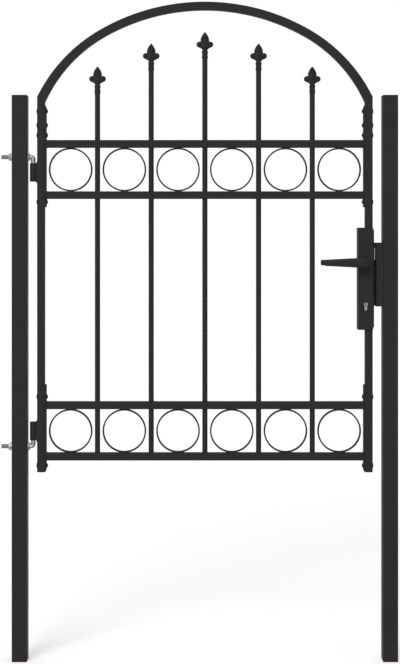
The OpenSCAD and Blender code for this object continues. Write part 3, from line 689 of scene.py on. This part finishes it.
spear = {
    "leafWidth": 23, "leafLength": 22.5, "leafPower": 0.94, "leafOverlap": 0.5,
    "lobeRadius": 8, "lobeOut": 14.3, "lobeDrop": 33.8,
    "lobeShare": 0.92,  # where the lobe's circle ends and the sweep starts, in its radii
    "sweepPower": 1.9, "neckRadius": 6.65, "neckDrop": 48.8, "waistRadius": 7.5, "waistOver": 2.5,
    "beads": ((54.2, 3.6, 1.0), (67.3, 4.2, 0.75)),  # drop, half height and swell of each bead
    "endOver": 0.8, "endSlope": 0.5,  # the lower end narrows over its last part
    "webDepth": 2.7, "spineDepth": 2.6, "spineWidth": 6.5,
    "domeDepth": 2.7, "domeWidth": 4.6, "domeShift": 0.6,  # on each lobe
    "thinOver": 9,  # the depth grows as a square root over this drop
    "roundFrom": 40, "roundOver": 8,  # where the flat head turns into the round neck
    # where each run of rows ends, below the tip, and how many rows it has
    "tipRows": (3, 6), "rows": ((25.6, 39), (27, 13), (41, 25)), "lastRows": 83, "around": 72,
}


# A spear head as one skin, drop d below the tip by angle a: x = w(d) cos a, y = b(x, d) sin a.
# The half width w is a quarter sine for the leaf, a circle for the lobes, a power curve that
# sweeps in to the neck, and swells (1 + cos)/2 for the beads. The depth b adds a spine along
# the middle and a dome on each lobe to a thin web, and becomes w at the round neck.
def spearRows(look, length):
    tipEnd, tipCount = look["tipRows"]
    runs = [np.linspace(0, 1, tipCount + 1) ** 2 * tipEnd]
    for end, count in (*look["rows"], (length, look["lastRows"])):
        runs.append(np.linspace(runs[-1][-1], end, count + 1)[1:])
    drop = np.concatenate(runs)
    lobeRadius, lobeOut, lobeDrop = look["lobeRadius"], look["lobeOut"], look["lobeDrop"]
    neck, neckDrop, lobeShare = look["neckRadius"], look["neckDrop"], look["lobeShare"]
    rising = np.clip(drop / look["leafLength"], 0, 1)
    leaf = look["leafWidth"] / 2 * np.sin(pi / 2 * rising) ** look["leafPower"]
    lobeTop, lobeEnd = lobeDrop - lobeRadius, lobeDrop + lobeRadius * lobeShare
    chord = np.sqrt(np.clip(lobeRadius ** 2 - (drop - lobeDrop) ** 2, 0, None))
    lobe = np.where((drop > lobeTop) & (drop < lobeEnd), lobeOut + chord, 0)
    atEnd = lobeOut + lobeRadius * np.sqrt(1 - lobeShare ** 2)
    t = np.clip((neckDrop - drop) / (neckDrop - lobeEnd), 0, 1)
    sweep = np.where(drop >= lobeEnd, neck + (atEnd - neck) * t ** look["sweepPower"], 0)
    leaf = np.where(drop < lobeTop + look["leafOverlap"], leaf, 0)
    head = np.maximum(np.maximum(leaf, lobe), sweep)
    waist = smoothStep((drop - neckDrop) / look["waistOver"])
    ferrule = neck + (look["waistRadius"] - neck) * waist
    for at, half, swell in look["beads"]:
        ferrule = ferrule + swell * (1 + np.cos(pi * np.clip((drop - at) / half, -1, 1))) / 2
    w = np.where(drop < neckDrop, head, ferrule)
    w = w - np.clip(drop - length + look["endOver"], 0, None) * look["endSlope"]
    angle = allRound(look["around"])[None]
    d, w = drop[:, None], np.maximum(w, 0.02)[:, None]  # never quite nothing
    x = w * np.cos(angle)
    spine = look["spineDepth"] * np.exp(-(x / look["spineWidth"]) ** 2)
    fromDome = (np.abs(x) - lobeOut - look["domeShift"]) ** 2 + (d - lobeDrop) ** 2
    dome = look["domeDepth"] * np.exp(-fromDome / look["domeWidth"] ** 2)
    depth = (look["webDepth"] + spine + dome) * np.minimum(1, np.sqrt(d / look["thinOver"]))
    towardRound = smoothStep((d - look["roundFrom"]) / look["roundOver"])
    depth = depth * (1 - towardRound) + w * towardRound
    return np.stack([x, depth * np.sin(angle), -d + 0 * angle], -1)


for k in range(1, 6):
    low, high = boxOf(f"spear_{k}")
    rows = spearRows(spear, high[2] - low[2])
    makePiece(f"spearHead{k}", [skin(rows + [(low[0] + high[0]) / 2, 0, high[2]])],
              coatedCasting, "leaf", "coated_casting", [f"spear_{k}"], sharp=60)
print("bars and spears ready")

# Rings

ring = {
    "count": 6, "thickness": 4, "width": 10, "edge": 0.7, "around": 144,
    "tackLength": 9, "tackRadius": 1.1, "tackPitch": 2.6, "tackLift": 0.3, "tackPoints": 19,
}
for end in ("lower", "upper"):
    low, high = boxOf(f"{end}_rings")
    radius, middleZ = (high[2] - low[2]) / 2, (low[2] + high[2]) / 2
    angle = allRound(ring["around"])
    outward = np.stack([np.cos(angle), 0 * angle, np.sin(angle)], -1)
    strip = roundedRectangle(ring["thickness"], ring["width"], ring["edge"], steps=3, lead=0.1)
    x = np.linspace(-ring["tackLength"] / 2, ring["tackLength"] / 2, ring["tackPoints"])
    shapes = []
    for centreX in np.linspace(low[0] + radius, high[0] - radius, ring["count"]):
        path = outward * (radius - ring["thickness"] / 2) + [centreX, 0, middleZ]
        shapes.append(carried(strip, path, outward, yAxis, loop=True))
        # tack welds where the ring touches the rail above and the rail below
        for up in (-1, 1):
            z = up * np.sqrt(radius ** 2 - x ** 2)
            for y in (-ring["width"] / 2, ring["width"] / 2):
                tack = np.stack([x + centreX, np.full(len(x), y),
                                 z + middleZ + up * ring["tackLift"]], -1)
                shapes.append(weldRun(tack, yAxis, ring["tackRadius"], ring["tackPitch"],
                                      loop=False))
    makePiece(f"{end}Rings", shapes, *leafSteel, [f"{end}_rings"], sharp=50)
print("rings ready")

# Brackets and their bolts

bracket = {
    "upperCut": (6, 2, 1.5), "lowerCut": (5, 2.6, 2),  # height, depth, rounding at the start
    "cutCorner": 0.5, "corner": 0.45, "edge": 0.28,
}
bolt = {
    "head": (15, 2.6), "nutDome": (10.4, 4.4), "rim": 0.35,  # diameter and height
    "nutFlats": 12.5, "nutHeight": 2.2, "nutBore": 0.2,
    "lowerGaps": (14, 12.5), "upperGap": 8,  # below rail 1, above rail 2, below rail 3
    "seam": (-13, 13.5, 51),  # from the joint of arch and stile
}


# A bracket's outline in x and z, with the free corner of one end cut off; out is +1 where the
# plate stands on the stile's right side
def bracketOutline(low, high, out, cutTop):
    inner, outer = (low[0], high[0]) if out > 0 else (high[0], low[0])
    height, depth, rounding = bracket["upperCut" if cutTop else "lowerCut"]
    near = outer - out * depth
    flat, cut = (low[2], high[2]) if cutTop else (high[2], low[2])
    start = cut - np.sign(cut - flat) * height
    corners = np.array([[inner, flat], [outer, flat], [outer, start], [near, cut], [inner, cut]])
    small = bracket["corner"]
    return roundedPolygon(corners, [small, small, rounding, bracket["cutCorner"], small])


for end in ("Upper", "Lower"):
    for side, out in sides.items():
        node = f"{side}_{end.lower()}_bracket"
        low, high = boxOf(node)
        outline = bracketOutline(low, high, out, end == "Upper")
        makePiece(f"{side}{end}Bracket",
                  [prism(outline, low[1], high[1], bracket["edge"], "y", lead=0.02)],
                  *leafSteel, [node], sharp=30)


# A mushroom head: radius R sin(turn), height rim + (H - rim) cos(turn), on a straight rim
def domeProfile(diameter, height):
    turn = np.linspace(0, 1, 10) * pi / 2
    radius = diameter / 2 * np.sin(turn)
    level = bolt["rim"] + (height - bolt["rim"]) * np.cos(turn)
    return np.concatenate([np.stack([radius, level], -1), [[diameter / 2, 0], [0, 0]]])


boltHeights = [railBoxes[0][0][2] - bolt["lowerGaps"][0], railBoxes[1][1][2] + bolt["lowerGaps"][1],
               railBoxes[2][0][2] - bolt["upperGap"], *(archLow[2] + np.array(bolt["seam"]))]
nut, nutCorners, nutSizes = hexNut(0, bolt["nutHeight"], 0, bolt["nutFlats"], bolt["nutBore"], 72)
for side, out in sides.items():
    low, high = boxOf(f"{side}_side_bolts")
    outside, inside = (low[0], high[0]) if out > 0 else (high[0], low[0])
    stileFace = outside + out * bolt["head"][1]
    plateFace = inside - out * bolt["nutDome"][1]
    shapes = []
    for z in boltHeights:
        shapes += [
            turned(domeProfile(*bolt["head"]) * [1, -out], [stileFace, 0, z], "x", 40),
            (nut * [out, 1, 1] + [plateFace, 0, z], nutCorners, nutSizes),
            turned(domeProfile(*bolt["nutDome"]) * [1, out], [plateFace, 0, z], "x", 40),
        ]
    makePiece(f"{side}SideBolts", shapes, *leafSteel, [f"{side}_side_bolts"], sharp=32)
print("brackets ready")

# Lock

lock = {
    "caseCorner": 1.0, "caseEdge": 0.7, "caseLead": 0.2, "plateEdge": 0.35, "strikeEdge": 0.7,
    "coverBack": 3.0,  # from the case's back to the line where cover and tray meet
    "coverLine": ((-0.8, 0), (-0.3, 0.06), (0, 0.35), (0.3, 0.06), (0.8, 0)),  # place, depth
}

# The case: a rounded box whose cover meets the tray along a fine line near the back
outline = roundedRectangle(caseHigh[0] - caseLow[0], caseHigh[2] - caseLow[2], lock["caseCorner"])
outline = outline + [(caseLow[0] + caseHigh[0]) / 2, (caseLow[2] + caseHigh[2]) / 2]
roll, lead = lock["caseEdge"], lock["caseLead"]
linePlace, lineDepth = np.array(lock["coverLine"]).T
along, aside = quarter(roll, 5)
depth = np.concatenate([
    [caseLow[1]], caseLow[1] + along, caseHigh[1] - lock["coverBack"] + linePlace,
    caseHigh[1] - along[::-1], [caseHigh[1]]])
inset = np.concatenate([[roll + lead], aside, lineDepth, aside[::-1], [roll + lead]])
rows = inward(outline, inset)
rows = np.concatenate([rows, np.broadcast_to(depth[:, None, None], (*rows.shape[:2], 1))], -1)
makePiece("lockCase", [skin(lay(rows, "y"))], *leafLock, ["lock_case"])
softened("lockFacePlate", "face_plate", *leafLock, lock["plateEdge"])

screw = {
    "radius": 3.6, "fromEnd": 9, "lift": 0.35, "sunk": 0.4, "dish": 0.4,
    "arm": (0.62, 0.14),  # half length and half width of the cross's arms, in head radii
    "sideEase": 0.6,  # in half widths
    "endEase": 0.4, "recess": 0.9, "rimShare": 0.95, "rings": 15,
}


# A countersunk screw head seen in its plate, facing +x: a shallow dome, lift (1 - dish s^2) at
# the share s of its radius, less the recess where an arm of the cross lies, eased at its sides
def screwHead(centre, look, around=64):
    radius, ease = look["radius"], look["sideEase"]
    s = np.linspace(1, 0, look["rings"])[:, None]
    angle = allRound(around)[None]
    a, b = s * radius * np.cos(angle), s * radius * np.sin(angle)
    arm, wide = (radius * share for share in look["arm"])
    inArm = [smoothStep((wide * (1 + ease) - np.abs(q)) / (wide * ease))
             * smoothStep((arm - np.abs(p)) / look["endEase"]) for p, q in ((a, b), (b, a))]
    cross = np.maximum(*inArm) * (s < look["rimShare"])
    level = look["lift"] * (1 - look["dish"] * s ** 2) - look["recess"] * cross
    wall = np.stack([0 * angle - look["sunk"], radius * np.cos(angle), radius * np.sin(angle)], -1)
    return skin(np.concatenate([wall, np.stack([level, a, b], -1)]) + np.asarray(centre, float))


faceLow, faceHigh = boxOf("face_plate")
makePiece("facePlateScrews", [screwHead([faceHigh[0], 0, z], screw)
                              for z in (faceLow[2] + screw["fromEnd"],
                                        faceHigh[2] - screw["fromEnd"])],
          *leafZinc, sharp=50)

cylinder = {
    "height": 33, "width": 17, "stem": 10, "edge": 0.5,
    "plug": 10.4, "plugStem": 6.6, "plugHeight": 22, "plugEdge": 0.15,
    "plugLift": 0.4, "plugSunk": 0.5,  # in front of the cylinder's face, and behind it
    "plugDrop": 1.3,
    "keyway": (2.4, 3.8, 11.0),  # width below and at the rim, and depth
}


# Outline of a profile cylinder in x and z: a full circle above, and a narrower stem below that
# ends in a half circle
def profileOutline(centreX, centreZ, look):
    big, small = look["width"] / 2, look["stem"] / 2
    topZ, footZ = look["height"] / 2 - big, small - look["height"] / 2
    opening = np.arcsin(small / big)
    upper = np.linspace(-pi / 2 + opening, 1.5 * pi - opening, 40)
    lower = np.linspace(pi, 2 * pi, 20)
    return np.concatenate([arcAt(big, upper, topZ),
                           arcAt(small, lower, footZ)]) + [centreX, centreZ]


# Outline of the key plug in x and z: the arc of a circle that is open at the top, where the
# keyway widens towards the rim, and a narrower stem below with a half-round end
def plugOutline(centreX, topZ, look):
    big, small = look["plug"] / 2, look["plugStem"] / 2
    foot, rim, depth = look["keyway"]
    middleZ = topZ - big
    edge = np.arcsin(rim / 2 / big)
    joint = np.arcsin(small / big)
    left = np.linspace(pi / 2 + edge, 1.5 * pi - joint, 16)
    below = np.linspace(pi, 2 * pi, 14)
    right = np.linspace(-pi / 2 + joint, pi / 2 - edge, 16)
    return np.concatenate([
        arcAt(big, left, middleZ), arcAt(small, below, topZ - look["plugHeight"] + small),
        arcAt(big, right, middleZ), [[foot / 2, topZ - depth], [-foot / 2, topZ - depth]],
    ]) + [centreX, 0]


cylLow, cylHigh = boxOf("lock_cylinder")
cylX, cylZ = (cylLow[0] + cylHigh[0]) / 2, (cylLow[2] + cylHigh[2]) / 2
makePiece("lockCylinderBody", [prism(profileOutline(cylX, cylZ, cylinder), cylLow[1], cylHigh[1],
                                     cylinder["edge"], "y", lead=0.1)],
          *leafLock, ["lock_cylinder"], sharp=30)
plugShapes = []
for faceY, out in ((cylLow[1], -1), (cylHigh[1], 1)):
    near, far = sorted((faceY - out * cylinder["plugSunk"], faceY + out * cylinder["plugLift"]))
    plugShapes.append(prism(plugOutline(cylX, cylHigh[2] - cylinder["plugDrop"], cylinder),
                            near, far, cylinder["plugEdge"], "y", lead=0.02))
makePiece("keyPlugs", plugShapes, nickelPlate, "leaf", "zinc_plate", sharp=40)

latch = {
    "deadCorner": 0.8, "deadEdge": 0.4,
    "head": 12.4, "nose": 5, "headEdge": 0.3,
    "headCorners": (0.6, 1.0, 1.2, 1.2, 0.6),  # from the back, round by the nose
    "tailHalf": (4, 7), "tailCorner": 0.6, "tailEdge": 0.25, "tailOverlap": 0.5,
}

# Deadbolt: a rounded bar, flush with the face plate
makePiece("deadboltBar", [boxTube(*boxOf("deadbolt"), latch["deadCorner"], latch["deadEdge"], "x")],
          *leafZinc, ["deadbolt"])

# Latch bolt: a bevelled head with rounded edges, and its tail
low, high = boxOf("latch_bolt")
headStart, tip, middleZ = high[0] - latch["head"], high[0], (low[2] + high[2]) / 2
outline = roundedPolygon([[headStart, low[1]], [tip, low[1]], [tip, low[1] + latch["nose"]],
                          [faceHigh[0], high[1]], [headStart, high[1]]], latch["headCorners"])
halfY, halfZ = latch["tailHalf"]
makePiece("latchBoltHead", [
    prism(outline, low[2], high[2], latch["headEdge"], "z", lead=0.05),
    boxTube(np.array([low[0], -halfY, middleZ - halfZ]),
            np.array([headStart + latch["tailOverlap"], halfY, middleZ + halfZ]),
            latch["tailCorner"], latch["tailEdge"], "x"),
], zincPlate, "latch", "zinc_plate", ["latch_bolt"], sharp=32)

softened("strikePlateSheet", "strike_plate", lockCoat, "posts", "lock_coating", lock["strikeEdge"])
print("lock ready")

# Levers

lever = {
    "neck": 17.6, "root": 26, "tip": 14.5, "thickness": 13, "elbow": 9, "reach": 112,
    "stand": 42,  # from the case to the grip's outer face
    "sunk": 3,  # how far inside the case the neck starts
    "gripStart": 4,  # from the end of the elbow to the grip's first row
    "tipRound": 3.6, "squareness": 4.6, "around": 64,
}


# A lever in one skin, about its axis, with y measured outwards from the case: a round neck,
# a quarter-circle elbow, and a grip whose height falls in a straight line to the tip. Each
# section is a superellipse |a|^n + |b|^n = 1 whose n grows from 2, a circle, in the elbow.
def leverRows(look):
    middle = look["stand"] - look["thickness"] / 2
    elbow, reach, end = look["elbow"], look["reach"], look["tipRound"]
    turn = np.linspace(0, pi / 2, 16)
    rounding = np.sin(np.linspace(0, pi / 2, 9))[1:]  # along the tip's end, 0 to 1
    neck = np.array([[0, -look["sunk"]], [0, 0.0]])
    bend = np.stack([elbow * (np.cos(turn) - 1), middle - elbow + elbow * np.sin(turn)], -1)
    grip = np.concatenate([np.linspace(-elbow - look["gripStart"], end - reach, 26),
                           end - reach - end * rounding])
    path = np.concatenate([neck, bend, np.stack([grip, 0 * grip + middle], -1)])
    share = np.concatenate([[0, 0], smoothStep(turn / turn[-1]), np.ones(len(grip))])
    taper = look["root"] + (look["tip"] - look["root"]) * -path[:, 0] / reach
    inset = np.zeros(len(path))
    inset[-len(rounding):] = 2 * end * (1 - np.sqrt(np.clip(1 - rounding ** 2, 0, 1)))
    height, thick = ((look["neck"] * (1 - share) + size * share - inset)[:, None]
                     for size in (taper, look["thickness"]))
    power = 2 / (2 + (look["squareness"] - 2) * share)[:, None]
    slope = np.concatenate([[0, 0], turn, np.full(len(grip), pi / 2)])[:, None]
    angle = allRound(look["around"])
    cosine, sine = np.cos(angle), np.sin(angle)
    a = thick / 2 * np.sign(cosine) * np.abs(cosine) ** power
    b = height / 2 * np.sign(sine) * np.abs(sine) ** power
    return np.stack([path[:, :1] + a * np.cos(slope), path[:, 1:] + a * np.sin(slope), b], -1)


for face, out, caseFace in (("front", -1, caseLow[1]), ("back", 1, caseHigh[1])):
    low, high = boxOf(f"{face}_lever")
    place = [low[0] + lever["reach"], caseFace, (low[2] + high[2]) / 2]
    makePiece(f"{face}Lever", [skin(leverRows(lever) * [1, out, 1] + place)],
              leverNylon, "lever", "lever_nylon", [f"{face}_lever"], sharp=50)

# The spindle stays as the frame has it, with its plate
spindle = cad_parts["spindle"].data
spindle.materials.clear()
spindle.materials.append(zincPlate)
print("levers ready")

# Stage; the floor and the places are in metres here

stage = {
    "floorHalf": 40, "floorColor": "#e6e6e6",
    "floorLift": 0.39,  # light that the floor adds for the camera, to come out near white
    "worldLight": 0.5, "sunFrom": (-0.35, -0.8, 0.5), "sunSpread": 32, "sunPower": 1.9,
    "cameraPlace": (0.478, -3.5, 1.1025), "lens": 71.4, "sensor": 36, "shiftY": -0.131,
}
scene = bpy.context.scene
scene.view_settings.view_transform = "Standard"


# 1 for a ray that should see the white background: from the camera, a gloss or glass
def showsBackground(tree):
    path = addNode(tree, "ShaderNodeLightPath").outputs
    seen = path["Is Camera Ray"]
    for other in (path["Is Glossy Ray"], path["Is Transmission Ray"]):
        seen = addNode(tree, "ShaderNodeMath", {0: seen, 1: other},
                       {"operation": "MAXIMUM"}).outputs[0]
    return seen


scene.world = bpy.data.worlds.new("studio")
tree = emptyTree(scene.world)
lamp, white = (addNode(tree, "ShaderNodeBackground", {"Color": (1, 1, 1, 1), "Strength": power})
               for power in (stage["worldLight"], 1.0))
both = addNode(tree, "ShaderNodeMixShader", {
    0: showsBackground(tree), 1: lamp.outputs[0], 2: white.outputs[0]})
addNode(tree, "ShaderNodeOutputWorld", {"Surface": both.outputs[0]})

floorMaterial = bpy.data.materials.new("paintedFloor")
tree = emptyTree(floorMaterial)
paint = addNode(tree, "ShaderNodeBsdfDiffuse", {"Color": linear(stage["floorColor"])})
lift = addNode(tree, "ShaderNodeMath", {0: showsBackground(tree), 1: stage["floorLift"]},
               {"operation": "MULTIPLY"})
glow = addNode(tree, "ShaderNodeEmission", {"Color": (1, 1, 1, 1), "Strength": lift.outputs[0]})
total = addNode(tree, "ShaderNodeAddShader", {0: paint.outputs[0], 1: glow.outputs[0]})
addNode(tree, "ShaderNodeOutputMaterial", {"Surface": total.outputs[0]})

half = stage["floorHalf"]
floorMesh = bpy.data.meshes.new("floor")
floorMesh.from_pydata([(-half, -half, 0), (half, -half, 0), (half, half, 0), (-half, half, 0)],
                      [], [(0, 1, 2, 3)])
floorMesh.materials.append(floorMaterial)
floor = addObject("floor", floorMesh)

# A broad soft lamp high in front, level over the whole floor
key = bpy.data.lights.new("softKey", "SUN")
key.energy, key.angle = stage["sunPower"], np.radians(stage["sunSpread"])
keyLamp = addObject("softKey", key)
fromX, fromY, fromZ = stage["sunFrom"]
keyLamp.rotation_euler = (np.arctan2(np.hypot(fromX, fromY), fromZ), 0, np.arctan2(fromX, -fromY))

view = bpy.data.cameras.new("camera")
view.lens, view.sensor_width, view.shift_y = stage["lens"], stage["sensor"], stage["shiftY"]
viewer = addObject("camera", view)
viewer.location = stage["cameraPlace"]
viewer.rotation_euler = (pi / 2, 0, 0)
scene.camera = viewer
print("stage ready")
